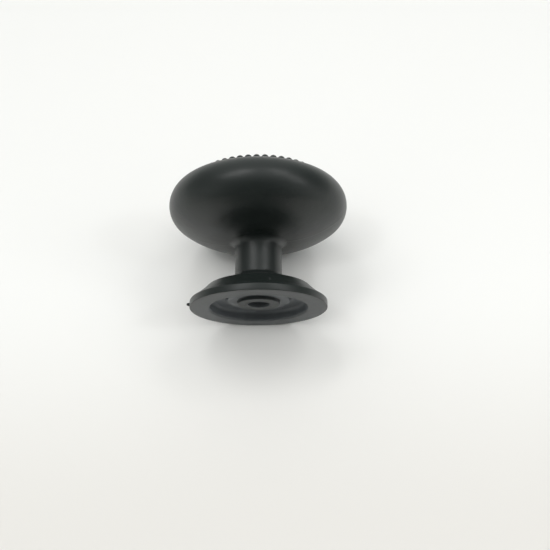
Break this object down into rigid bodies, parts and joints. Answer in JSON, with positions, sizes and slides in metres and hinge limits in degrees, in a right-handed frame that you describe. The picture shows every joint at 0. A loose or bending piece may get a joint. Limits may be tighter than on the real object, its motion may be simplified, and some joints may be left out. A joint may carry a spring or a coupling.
{
  "type": "cabinet knob",
  "caption": "Round cabinet knob with a beaded domed face, a straight neck and a stepped foot, screwed on from behind.",
  "frame": {"origin": "centre of the foot's mounting face", "axes": "+Z out of the door or drawer, from the foot to the head; -X towards the burr on the flange"},
  "size_m": [0.032, 0.032, 0.0242],
  "materials": {
    "black_finish": "soft satin black coat over a die casting, with a faint orange peel and slightly worn edges"
  },
  "bodies": {
    "root": {"knob_casting": "black_finish"}
  },
  "joints": []
}
